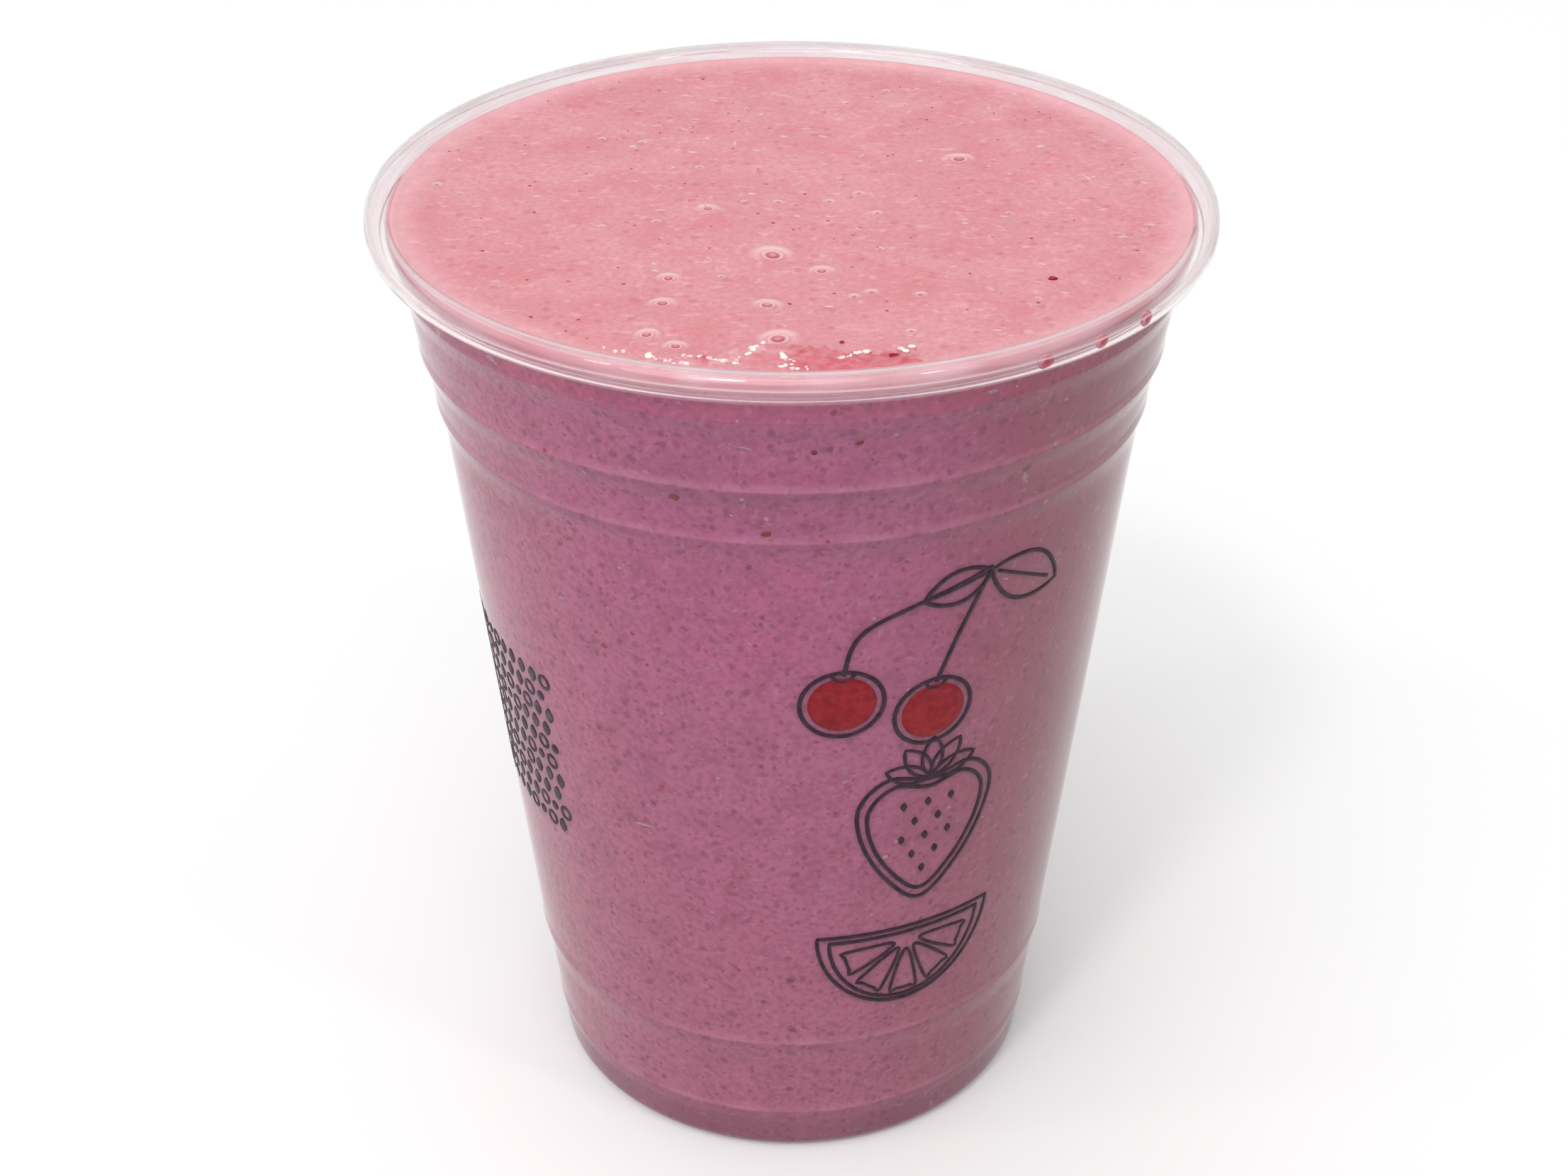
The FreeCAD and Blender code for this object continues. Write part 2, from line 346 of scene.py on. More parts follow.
class Paint:
    """A node material. add() makes a node and sets or links its inputs by name or number.
    Sizes are in millimetres."""

    def __init__(self, name):
        self.material = bpy.data.materials.new(name)
        self.material.use_nodes = True
        self.tree = self.material.node_tree
        self.tree.nodes.clear()
        self.out = self.tree.nodes.new("ShaderNodeOutputMaterial")
        place = self.tree.nodes.new("ShaderNodeTexCoord").outputs["Object"]
        self.mm = self.add("ShaderNodeVectorMath", {0: place, "Scale": 1 / MM},
                           operation="SCALE").outputs[0]

    def add(self, kind, inputs, **settings):
        node = self.tree.nodes.new(kind)
        for key, value in settings.items():
            setattr(node, key, value)
        for key, value in inputs.items():
            if isinstance(value, bpy.types.NodeSocket):
                self.tree.links.new(value, node.inputs[key])
            else:
                node.inputs[key].default_value = value
        return node

    def noise(self, size, detail=3, rough=0.5, vector=None):
        """Noise whose blobs are about size millimetres across."""
        inputs = {"Vector": vector or self.mm, "Scale": 1 / size, "Detail": detail,
                  "Roughness": rough}
        return self.add("ShaderNodeTexNoise", inputs).outputs[0]

    def stretched(self, x, y, z):
        """The place, with each axis scaled."""
        return self.add("ShaderNodeVectorMath", {0: self.mm, 1: (x, y, z)},
                        operation="MULTIPLY").outputs[0]

    def from_axis(self):
        """Distance from the cup's axis."""
        return self.add("ShaderNodeVectorMath", {0: self.stretched(1, 1, 0)},
                        operation="LENGTH").outputs[1]

    def split(self, vector):
        return self.add("ShaderNodeSeparateXYZ", {0: vector}).outputs

    def shade(self):
        """The number per point that a Heap keeps."""
        return self.add("ShaderNodeAttribute", {}, attribute_name="shade").outputs["Fac"]

    def between(self, value, low, high, to_low=0.0, to_high=1.0):
        """to_low at low, to_high at high, and a smooth step between."""
        inputs = {0: value, 1: low, 2: high, 3: to_low, 4: to_high}
        return self.add("ShaderNodeMapRange", inputs, interpolation_type="SMOOTHSTEP").outputs[0]

    def math(self, operation, a, b=0.0):
        return self.add("ShaderNodeMath", {0: a, 1: b}, operation=operation).outputs[0]

    def mix(self, factor, a, b):
        return self.add("ShaderNodeMix", {0: factor, 6: a, 7: b}, data_type="RGBA").outputs[2]

    def dab(self, colour, mask, share, tone):
        """The colour with a share of the tone laid over it where the mask is 1."""
        return self.mix(self.math("MULTIPLY", mask, share), colour, tone)

    def dots(self, cell, size, share, vector=None):
        """Round dots in a random share of cells that are cell millimetres across."""
        inputs = {"Vector": vector or self.mm, "Scale": 1 / cell, "Randomness": 1.0}
        cells = self.add("ShaderNodeTexVoronoi", inputs)
        dot = self.between(cells.outputs["Distance"], size, size * 0.5)
        pick = self.add("ShaderNodeSeparateColor", {0: cells.outputs["Color"]}).outputs[0]
        chosen = self.math("LESS_THAN", pick, share)
        return self.math("MULTIPLY", dot, chosen)

    def bump(self, height, distance, strength=1.0):
        return self.add("ShaderNodeBump", {"Height": height, "Distance": distance * MM,
                                           "Strength": strength}).outputs[0]

    def principled(self, inputs):
        return self.add("ShaderNodeBsdfPrincipled", inputs).outputs[0]

    def blend(self, factor, a, b):
        """A mix of two shaders."""
        return self.add("ShaderNodeMixShader", {0: factor, 1: a, 2: b}).outputs[0]

    def finish(self, shader):
        self.tree.links.new(shader, self.out.inputs["Surface"])
        return self.material

    def finish_clear(self, shader, tint):
        """For clear things: light passes straight on through them, in this tint."""
        see_through = self.add("ShaderNodeBsdfTransparent", {0: tint}).outputs[0]
        ray = self.add("ShaderNodeLightPath", {}).outputs["Is Shadow Ray"]
        return self.finish(self.blend(ray, shader, see_through))


# ---------------------------------------------------------------- materials

PLASTIC_IOR = 1.45
DRINK_IOR = 1.35
FROTH_IOR = 1.36
WATER_IOR = 1.33
INK_IOR = 1.3


def clear_plastic():
    """Thin clear plastic. The rolled rim is thicker to look through, and hazier."""
    p = Paint("clear_plastic")
    x, y, z = p.split(p.mm)
    away = p.from_axis()

    # where the roll is, and on the faces of it at the front a painted pink: the drink's light as
    # it shows through the roll
    above_roll_end = p.between(z, ROLL_LOW_Z - 2.4, ROLL_LOW_Z - 1.4)
    in_roll = p.between(z, ROLL_LOW_Z - 0.6, ROLL_LOW_Z + 0.9, 0.25, 1)
    in_roll = p.math("MULTIPLY", in_roll, above_roll_end)
    inner = p.between(away, ROLL_MIDDLE + 0.7, ROLL_MIDDLE - 0.2)
    inner = p.math("MULTIPLY", inner, p.between(z, NECK_Z - 1, NECK_Z))
    below = p.between(z, ROLL_LOW_Z - 0.2, ROLL_LOW_Z - 0.8)
    below = p.math("MULTIPLY", below, above_roll_end)
    at_front = p.between(y, -22, -42, 0.2, 1)
    painted_drink_pink = p.math("MULTIPLY", p.math("MAXIMUM", inner, below), at_front)

    rough = p.math("ADD", p.between(p.noise(9, 2), 0.3, 0.7, 0.015, 0.045),
                   p.math("MULTIPLY", in_roll, 0.03))
    normal = p.bump(p.noise(14, 1, vector=p.stretched(1, 1, 0.4)), 0.6, 0.25)
    # greyer towards the right: painted shade
    plain = p.mix(p.between(x, 20, 44), (0.985, 0.985, 0.99, 1), (0.977, 0.971, 0.97, 1))
    clear = p.principled({
        "Base Color": p.mix(painted_drink_pink, plain, (0.98, 0.81, 0.85, 1)), "Roughness": rough,
        "IOR": PLASTIC_IOR, "Transmission Weight": 1.0, "Normal": normal})

    # haze in streaks round the rim, and a painted bright line round the roll's outside
    round_rim = p.add("ShaderNodeCombineXYZ", {
        0: p.math("MULTIPLY", x, 0.09), 1: p.math("MULTIPLY", y, 0.09),
        2: p.math("MULTIPLY", p.math("ADD", away, z), 1.1)}).outputs[0]
    streak = p.noise(1, 3, 0.55, round_rim)
    milk = p.principled({
        "Base Color": p.mix(streak, srgb(222, 186, 193), srgb(246, 228, 231)),
        "Roughness": 0.15, "IOR": PLASTIC_IOR, "Normal": normal})
    haze = p.math("MULTIPLY", in_roll, p.between(streak, 0.38, 0.66, 0.04, 0.24))
    off_line = p.math("ABSOLUTE", p.math("SUBTRACT", z, ROLL_TOP_Z))
    line = p.math("MULTIPLY", p.between(off_line, 0.2, 0.05, 0, 0.55),
                  p.between(away, ROLL_MIDDLE + 0.8, ROLL_MIDDLE + 1.3))
    body = p.blend(p.math("MAXIMUM", haze, line), clear, milk)
    return p.finish_clear(body, (0.97, 0.96, 0.97, 1))


def top_colour(p):
    """The pink of the smoothie's open top, with its fine pulp and froth."""
    broad = p.between(p.noise(13, 3), 0.35, 0.65)
    colour = p.mix(broad, srgb(215, 141, 149), srgb(220, 152, 158))
    patch = p.between(p.noise(6, 4, 0.6), 0.48, 0.66)
    colour = p.dab(colour, patch, 0.45, srgb(214, 120, 130))
    fine = p.between(p.noise(0.7, 4, 0.6), 0.42, 0.62)
    colour = p.dab(colour, fine, 0.4, srgb(205, 116, 129))
    pale = p.between(p.noise(1.1, 3, 0.6, p.stretched(0.7, 1.1, 1)), 0.56, 0.70)
    colour = p.dab(colour, pale, 0.5, srgb(236, 178, 184))
    colour = p.dab(colour, p.dots(1.9, 0.34, 0.4), 0.32, srgb(186, 84, 104))
    return p.dab(colour, p.dots(3.1, 0.1, 0.35), 0.6, srgb(150, 54, 74))


def drink_top():
    """The smoothie's open top, paler towards the cup."""
    p = Paint("smoothie_top")
    x, y, _ = p.split(p.mm)
    wobble = p.between(p.noise(2.5, 3), 0.3, 0.7, -0.5, 0.5)
    edge = p.between(p.math("ADD", p.from_axis(), wobble), NECK_R - 5, NECK_R + 2)
    front = p.math("MAXIMUM", p.between(y, -43, -32, 0.42, 0.85),
                   p.between(x, -8, -18, 0.42, 0.85))
    colour = p.mix(p.math("MULTIPLY", edge, front), top_colour(p), srgb(237, 187, 194))
    height = p.math("ADD", p.noise(0.8, 4, 0.6), p.math("MULTIPLY", p.noise(3.5, 2), 1.5))
    return p.finish(p.principled({
        "Base Color": colour, "Roughness": p.between(p.noise(2.5, 3), 0.3, 0.7, 0.28, 0.45),
        "IOR": DRINK_IOR, "Specular IOR Level": 0.5, "Normal": p.bump(height, 0.14, 0.8),
        "Subsurface Weight": 0.25, "Subsurface Radius": (1.0, 0.45, 0.4),
        "Subsurface Scale": 0.8 * MM}))


def froth_shade(name, rough):
    """For the bubbles and froth on the top: shade runs from red, -1, to pale, 1."""
    p = Paint(name)
    shade = p.shade()
    colour = p.mix(p.between(shade, 0, 1, 0, 0.85), top_colour(p), srgb(246, 204, 206))
    colour = p.mix(p.between(shade, 0, -1, 0, 0.85), colour, srgb(176, 70, 88))
    return p.finish(p.principled({
        "Base Color": colour, "Roughness": rough, "IOR": FROTH_IOR,
        "Normal": p.bump(p.noise(0.6, 3, 0.6), 0.05, 0.6),
        "Subsurface Weight": 0.3, "Subsurface Radius": (1.0, 0.45, 0.4),
        "Subsurface Scale": 0.6 * MM}))


def wet_pulp():
    """Wet fruit pulp: shade runs from pale froth, 0, to red pulp, 1."""
    p = Paint("wet_pulp")
    base = p.mix(p.between(p.noise(0.9, 4, 0.6), 0.45, 0.7, 0, 0.7), top_colour(p),
                 srgb(236, 176, 182))
    red = p.mix(p.between(p.noise(1.2, 4, 0.6), 0.35, 0.65), srgb(198, 82, 98),
                srgb(216, 112, 124))
    return p.finish(p.principled({
        "Base Color": p.mix(p.between(p.shade(), 0.05, 0.95), base, red), "Roughness": 0.25,
        "IOR": FROTH_IOR, "Normal": p.bump(p.noise(0.45, 3, 0.6), 0.06, 0.7),
        "Coat Weight": 0.15, "Coat Roughness": 0.08,
        "Subsurface Weight": 0.35, "Subsurface Radius": (1.0, 0.4, 0.35),
        "Subsurface Scale": 0.7 * MM}))


def painted_glint_blobs():
    """Painted glints: near-white blobs that stand in for light caught on the wet pulp. shade
    runs from pink, 0, to nearly white, 1.
    """
    p = Paint("painted_glint_blobs")
    mottle = p.between(p.noise(0.3, 3), 0.3, 0.7, -0.3, 0.3)
    colour = p.mix(p.between(p.math("ADD", p.shade(), mottle), 0, 0.6), srgb(240, 196, 200),
                   srgb(255, 246, 238))
    return p.finish(p.principled({
        "Base Color": colour, "Roughness": 0.15, "IOR": FROTH_IOR, "Coat Weight": 0.6,
        "Coat Roughness": 0.1, "Normal": p.bump(p.noise(0.25, 2), 0.02, 0.5)}))


def dark_fleck():
    """Bits of berry skin: shade runs from red, 0, to deep red, 1."""
    p = Paint("berry_skin")
    mottle = p.between(p.noise(0.25, 3), 0.3, 0.7, -0.25, 0.25)
    colour = p.mix(p.between(p.math("ADD", p.shade(), mottle), 0, 1), srgb(178, 58, 82),
                   srgb(122, 16, 38))
    return p.finish(p.principled({
        "Base Color": colour, "Roughness": 0.4, "IOR": DRINK_IOR, "Specular IOR Level": 0.15,
        "Normal": p.bump(p.noise(0.2, 3), 0.03, 0.6)}))


def side_froth():
    """Small pale bubbles and smears that lie against the wall."""
    p = Paint("side_froth")
    colour = p.mix(p.between(p.noise(0.6, 3, 0.6), 0.35, 0.65), srgb(172, 112, 136),
                   srgb(194, 146, 166))
    return p.finish(p.principled({
        "Base Color": colour, "Roughness": 0.4, "IOR": DRINK_IOR,
        "Subsurface Weight": 0.3, "Subsurface Radius": (1.0, 0.5, 0.5),
        "Subsurface Scale": 0.5 * MM}))


def side_colour(p):
    """The mauve seen through the wall: browner to the right as painted shade, pinker to the left
    as painted light, darker at the heel as painted shade and redder over the top ring, with
    clouds, pulp and dots."""
    x, y, z = p.split(p.mm)
    colour = p.mix(p.between(z, 4, 118), srgb(184, 107, 134), srgb(186, 98, 143))
    # browner and darker to the right: painted shade; pinker to the left: painted light
    colour = p.mix(p.between(x, 4, 38, 0, 0.8), colour, srgb(150, 56, 62))
    colour = p.mix(p.between(x, -10, -34, 0, 0.5), colour, srgb(208, 120, 146))
    # darker at the heel: painted shade
    heel = p.between(z, HEEL_HEIGHT + 0.3, HEEL_HEIGHT - 2.5, 0, 0.6)
    colour = p.mix(heel, colour, srgb(118, 70, 88))
    collar = p.between(z, COLLAR_Z - 0.8, COLLAR_Z + 0.6, 0, 0.45)
    colour = p.mix(collar, colour, srgb(172, 72, 98))

    cloud = p.between(p.noise(16, 3), 0.35, 0.65)
    colour = p.dab(colour, cloud, 0.3, srgb(184, 113, 140))
    patch = p.between(p.noise(4.5, 3, 0.6), 0.48, 0.66)
    colour = p.dab(colour, patch, 0.3, srgb(151, 74, 104))
    fine = p.between(p.noise(0.8, 4, 0.6), 0.42, 0.62)
    colour = p.dab(colour, fine, 0.46, srgb(148, 74, 108))
    pale = p.between(p.noise(1.1, 3, 0.6), 0.57, 0.70)
    colour = p.dab(colour, pale, 0.36, srgb(192, 140, 164))

    drift = p.add("ShaderNodeTexNoise", {"Vector": p.mm, "Scale": 0.7, "Detail": 2.0})
    astray = p.add("ShaderNodeVectorMath", {0: drift.outputs["Color"], 1: p.mm},
                   operation="ADD").outputs[0]
    for cell, size, chosen, share, tone in [(1.7, 0.36, 0.45, 0.42, srgb(126, 48, 78)),
                                            (0.9, 0.38, 0.3, 0.42, srgb(112, 38, 66)),
                                            (4.1, 0.12, 0.3, 0.6, srgb(92, 26, 48))]:
        colour = p.dab(colour, p.dots(cell, size, chosen, astray), share, tone)

    # each ring shows as a painted light line over a painted shade band, stronger here and weaker
    # there
    uneven = p.between(p.noise(6, 3), 0.3, 0.7, 0.5, 1.1)
    for height in (HEEL_HEIGHT, STACK_HEIGHT, LOWER_Z, MIDDLE_Z):
        over = p.math("MULTIPLY", p.between(z, height - 0.1, height + 0.1),
                      p.between(z, height + 1.3, height + 0.2, 0, 0.36))
        colour = p.dab(colour, over, uneven, srgb(200, 142, 166))
        under = p.math("MULTIPLY", p.between(z, height - 0.1, height - 0.3),
                       p.between(z, height - 1.8, height - 0.4, 0, 0.3))
        colour = p.dab(colour, under, uneven, srgb(126, 62, 90))
    # paler pink at the top, where it is seen through the roll: painted light
    roll_painted_light = p.between(z, DRINK_Z - 1.9, DRINK_Z - 0.7, 0, 0.85)
    return p.mix(roll_painted_light, colour, srgb(214, 140, 152))


def drink_side():
    """The smoothie where it lies against the wall."""
    p = Paint("smoothie_side")
    return p.finish(p.principled({
        "Base Color": side_colour(p), "IOR": DRINK_IOR, "Specular IOR Level": 0.2,
        "Roughness": p.between(p.noise(2.5, 3), 0.3, 0.7, 0.35, 0.5),
        "Subsurface Weight": 0.25, "Subsurface Radius": (1.0, 0.45, 0.5),
        "Subsurface Scale": 0.8 * MM}))


def droplet(name, tint):
    """A clear drop, tinted all through."""
    p = Paint(name)
    body = p.principled({
        "Base Color": tint, "Roughness": 0.03, "IOR": WATER_IOR, "Transmission Weight": 1.0,
        "Normal": p.bump(p.noise(0.6, 2), 0.03, 0.4)})
    return p.finish_clear(body, tint)


def ink(name, colour, worn):
    """Printing ink, in places worn to a second colour."""
    p = Paint(name)
    tone = p.between(p.noise(0.9, 4, 0.6), 0.35, 0.65)
    return p.finish(p.principled({
        "Base Color": p.mix(tone, colour, worn),
        "Roughness": p.between(p.noise(2, 3), 0.3, 0.7, 0.4, 0.6), "IOR": INK_IOR,
        "Normal": p.bump(p.noise(0.3, 3), 0.01, 0.5)}))


def pale_floor():
    """A plain floor, very slightly uneven in tone."""
    p = Paint("pale_floor")
    tone = p.between(p.noise(400, 2), 0.3, 0.7)
    return p.finish(p.principled({
        "Base Color": p.mix(tone, (0.97, 0.97, 0.97, 1), (0.99, 0.99, 0.99, 1)),
        "Roughness": 0.7, "Specular IOR Level": 0.2}))


# ---------------------------------------------------------------- the cup's wall

# The roll: over on its hollow side, tucked in, and back on its outer side.
roll = [
    arc(ROLL_MIDDLE, ROLL_TOP_Z, ROLL_HOLLOW, 180, 0, 18),
    arc(ROLL_MIDDLE, ROLL_LOW_Z, ROLL_HOLLOW, 0, ROLL_TUCK - 180, 11),
    arc(ROLL_MIDDLE, ROLL_LOW_Z, ROLL_R, ROLL_TUCK - 180, 0, 14),
    arc(ROLL_MIDDLE, ROLL_TOP_Z, ROLL_R, 0, 180, 24),
]
section = np.vstack([OUTSIDE_LINE[:-1], *roll, INSIDE_LINE[::-1][1:]])
points, faces = turned(section, CUP_SEGMENTS)
cup = mesh_object("cup_wall", points, faces, clear_plastic())
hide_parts("cup")

# ---------------------------------------------------------------- the smoothie

BROAD = waves(3, 10, 16, 40)
SMALL = waves(4, 24, 3, 8)
BROAD_HEIGHT = 0.10
SMALL_HEIGHT = 0.035


def drink_z(x, y):
    """Height of the smoothie's top, in millimetres. It climbs where it meets the wall."""
    r = np.hypot(x, y)
    climb = np.clip(r - (NECK_R - MENISCUS), 0, MENISCUS * 0.98)
    rise = MENISCUS - np.sqrt(MENISCUS ** 2 - climb ** 2)
    rise = np.minimum(rise, MENISCUS_RISE)
    calm = np.clip((NECK_R - 0.5 - r) / 4, 0, 1)
    return DRINK_Z + rise + calm * (BROAD_HEIGHT * BROAD(x, y) + SMALL_HEIGHT * SMALL(x, y))


side = INSIDE_LINE + OUTWARD * INTO_WALL
side[0] = INSIDE_LINE[0] - (0, INTO_WALL)
side[-1] = (NECK_R + INTO_WALL, DRINK_Z + MENISCUS_RISE)
lid_r = np.concatenate([np.arange(LID_R, LID_FINE_R, -0.3), np.arange(LID_FINE_R, 0.4, -0.62)])
lid = np.stack([lid_r, np.full(len(lid_r), DRINK_Z)], axis=1)
section = np.vstack([side, lid, [[0, DRINK_Z]]])
points, faces = turned(section, DRINK_SEGMENTS)
# turned() gives the side's rings, the lid's rings, the bottom's middle and the top's middle
first_lid = (len(side) - 1) * DRINK_SEGMENTS
top = np.arange(len(points)) >= first_lid
top[-2] = False
near_top = top | (np.arange(len(points)) >= first_lid - DRINK_SEGMENTS)
points[top, 2] = drink_z(points[top, 0], points[top, 1])
smoothie = mesh_object("smoothie_body", points, faces, drink_side())
smoothie.data.materials.append(drink_top())
for face in smoothie.data.polygons:
    corners = list(face.vertices)
    face.material_index = int(top[corners].any() and near_top[corners].all())
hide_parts("smoothie")

# ---------------------------------------------------------------- on the smoothie's top

rng = np.random.default_rng(11)


def random_spot(reach):
    """A place within reach of the axis, anywhere with the same chance."""
    away = reach * math.sqrt(rng.uniform(0, 1))
    turn = rng.uniform(0, 2 * math.pi)
    return away * math.cos(turn), away * math.sin(turn)


# Bubbles: place on the top, and radius. Those named here are the ones that stand out.
BUBBLES = [(-2.1, -15.1, 1.05), (-13.4, -21.2, 0.65), (3.3, -19.2, 0.65), (-13.8, -27.7, 0.7),
           (-2.6, -28.1, 0.72), (-1.4, -36.2, 1.0), (-15.1, -35.3, 0.65), (20.0, 12.4, 0.85),
           (-9.6, -2.5, 0.65), (-12.0, -37.9, 0.6), (8.6, -24.8, 0.4), (13.8, -25.6, 0.35)]
SMALL_BUBBLES = 26
BUBBLE_REACH = 43
BUBBLES_FORWARD = 6
BUBBLE_SIDES = 32

# Reach, height and shade across a bubble, in bubble radii from its middle.
# the dark ring in the dip is painted shade; the pale raised ring is partly froth and partly a
# painted highlight
BUBBLE_LINE = [(0.0, 0.14, 0.0), (0.22, 0.13, -0.1), (0.42, 0.09, -0.55), (0.6, 0.02, -1.0),
               (0.74, -0.04, -1.0), (0.88, 0.03, 0.5), (1.0, 0.08, 1.0), (1.12, 0.04, 0.3),
               (1.35, 0.02, 0.5), (1.7, 0.02, 0.8), (2.1, 0.01, 0.6), (2.6, 0.0, 0.2),
               (3.0, -0.08, 0.0)]
BUBBLE_DEPTH = 0.6


def bubble(x0, y0, radius, tilt):
    """A low dome with a dip round it in a raised ring of froth, closed underneath: points,
    faces and shade. Outside the ring a painted reflection makes the froth palest on the side
    towards the back."""
    points = [(x0, y0, drink_z(x0, y0) + BUBBLE_LINE[0][1] * radius)]
    shade = [BUBBLE_LINE[0][2]]
    for reach, rise, tone in BUBBLE_LINE[1:]:
        for j in range(BUBBLE_SIDES):
            turn = 2 * math.pi * j / BUBBLE_SIDES
            spread = radius * reach * (1 + 0.06 * math.sin(2 * turn + tilt))
            x = x0 + spread * math.cos(turn)
            y = y0 + spread * math.sin(turn)
            points.append((x, y, drink_z(x, y) + rise * radius))
            # painted reflection: the froth outside the ring is pale only towards the back
            painted_reflection = 0.5 + 0.5 * math.sin(turn)
            shade.append(tone * painted_reflection if reach > 1.05 else tone)
    under = len(points)
    points.append((x0, y0, drink_z(x0, y0) - BUBBLE_DEPTH * radius))
    shade.append(0)
    rings = len(BUBBLE_LINE) - 2
    last = 1 + rings * BUBBLE_SIDES
    faces = []
    for j in range(BUBBLE_SIDES):
        k = (j + 1) % BUBBLE_SIDES
        faces.append((0, 1 + j, 1 + k))
        for i in range(rings):
            low = 1 + i * BUBBLE_SIDES
            high = low + BUBBLE_SIDES
            faces.append((low + j, high + j, high + k, low + k))
        faces.append((under, last + k, last + j))
    return points, faces, shade


for _ in range(SMALL_BUBBLES):
    x, y = random_spot(BUBBLE_REACH)
    y -= BUBBLES_FORWARD
    if math.hypot(x, y) < BUBBLE_REACH:
        BUBBLES.append((x, y, rng.uniform(0.18, 0.36)))
bubbles = Heap()
for x, y, radius in BUBBLES:
    bubbles.add(*bubble(x, y, radius, rng.uniform(0, 2 * math.pi)))
bubbles.piece("bubbles", froth_shade("smoothie_froth", 0.35), "smoothie")

# Froth: thin pale flecks that mostly lie across.
FLECKS = 110
FLECK_REACH = 44.5
froth = Heap()
for _ in range(FLECKS):
    x, y = random_spot(FLECK_REACH)
    long = rng.uniform(0.25, 0.8)
    wide = rng.uniform(0.14, 0.3)
    lie = rng.normal(0, 0.5)
    along = (long * math.cos(lie), long * math.sin(lie), 0)
    across = (-wide * math.sin(lie), wide * math.cos(lie), 0)
    froth.add(*blob((x, y, drink_z(x, y) - 0.01), along, across, (0, 0, 0.04), rng),
              rng.uniform(0.3, 0.8))
froth.piece("froth_flecks", froth_shade("dull_froth", 0.45), "smoothie")

# Berry skins on the top: place, half width and shade of those that stand out.
TOP_SKINS = [(28.4, -21.4, 0.5, 0.5), (10.5, -40.1, 0.6, 0.6), (5.2, -37.0, 0.25, 0.0)]
SMALL_SKINS = 90
SKIN_REACH = 44
skins = Heap()
for x, y, half, tone in TOP_SKINS:
    skins.add(*blob((x, y, drink_z(x, y) + 0.12), (half, 0.1 * half, 0),
                    (-0.1 * half, half * 0.7, 0), (0, 0, 0.16), rng, 0.3), tone)
for _ in range(SMALL_SKINS):
    x, y = random_spot(SKIN_REACH)
    half = rng.uniform(0.1, 0.22)
    skins.add(*blob((x, y, drink_z(x, y)), (half, 0, 0), (0, half * rng.uniform(0.5, 1), 0),
                    (0, 0, 0.05), rng, 0.3), rng.uniform(-0.3, 0.3))

# Wet pulp that has been pushed up against the wall at the front. Its lumps: place, width
# and height.
PULP_R = 45.2
LUMPS_TRIED = 190
LUMPS = [(rng.uniform(-17, 13), rng.uniform(-45, -38), rng.uniform(0.45, 1.1),
          rng.uniform(0.04, 0.22)) for _ in range(LUMPS_TRIED)]
LUMPS = [lump for lump in LUMPS if math.hypot(lump[0], lump[1]) < PULP_R]


def step_up(value, low, high):
    """0 below low, 1 above high, smooth between."""
    t = np.clip((value - low) / (high - low), 0, 1)
    return t * t * (3 - 2 * t)


def pulp_shape(x, y):
    """Height over the drink's top and redness at a place on the pulp patch: an uneven shore
    at the back, ragged ends, and one small red spot to the left."""
    rise = np.zeros(np.shape(x))
    for cx, cy, width, height in LUMPS:
        rise = np.maximum(rise, height * np.exp(-((x - cx) ** 2 + (y - cy) ** 2) / width ** 2))
    ragged = 0.35 * np.sin(x * 1.9 + 1) + 0.3 * np.sin(x * 4.1) + 0.15 * np.sin(x * 7.7 + y)
    shore = -37.6 - 1.7 * step_up(x, 1, 7) + ragged - 2.2 * step_up(x, -3, -9)
    bend = x + 1.3 * np.sin(y * 1.3 + 1) + 0.5 * np.sin(y * 4.3)
    ends = step_up(x, -18, -14) * step_up(-bend, -13.2, -11)
    wall_end = step_up(-np.hypot(x, y), -PULP_R - 0.7, -PULP_R)
    mask = step_up(shore - y, -0.25, 0.3) * ends * wall_end
    streaks = 0.8 + 0.2 * np.sin(x * 2.3 + y * 1.7) * np.sin(y * 2.9 - x)
    red = step_up(x + 0.8 * np.sin(y * 2.1), -3.5, 1.0) * streaks
    red = np.maximum(red, 0.45 * step_up(x, -6, -4) * step_up(-y, 38.5, 40))
    spot = np.exp(-((x + 8.8) ** 2 / 1.1 + (y + 40.9) ** 2 / 0.8))
    red = np.maximum(red * mask, 0.9 * spot)
    return (rise + 0.05) * mask + 0.1 * spot - 0.12 * (1 - np.maximum(mask, spot)), red


turn_grid, reach_grid = np.meshgrid(np.radians(np.linspace(-24, 20, 260)),
                                    np.linspace(34.5, 45.9, 96))
x, y = reach_grid * np.sin(turn_grid), -reach_grid * np.cos(turn_grid)
rise, red = pulp_shape(x, y)
points = np.stack([x, y, drink_z(x, y) + rise], axis=2).reshape(-1, 3)
rows, wide = x.shape
faces = [(i * wide + j, (i + 1) * wide + j, (i + 1) * wide + j + 1, i * wide + j + 1)
         for i in range(rows - 1) for j in range(wide - 1)]
pulp = Heap()
pulp.add(points, faces, red.reshape(-1))
pulp = pulp.piece("wet_pulp", wet_pulp(), "smoothie")
thick = pulp.modifiers.new("thick", "SOLIDIFY")
thick.thickness = 0.3 * MM
thick.offset = -1

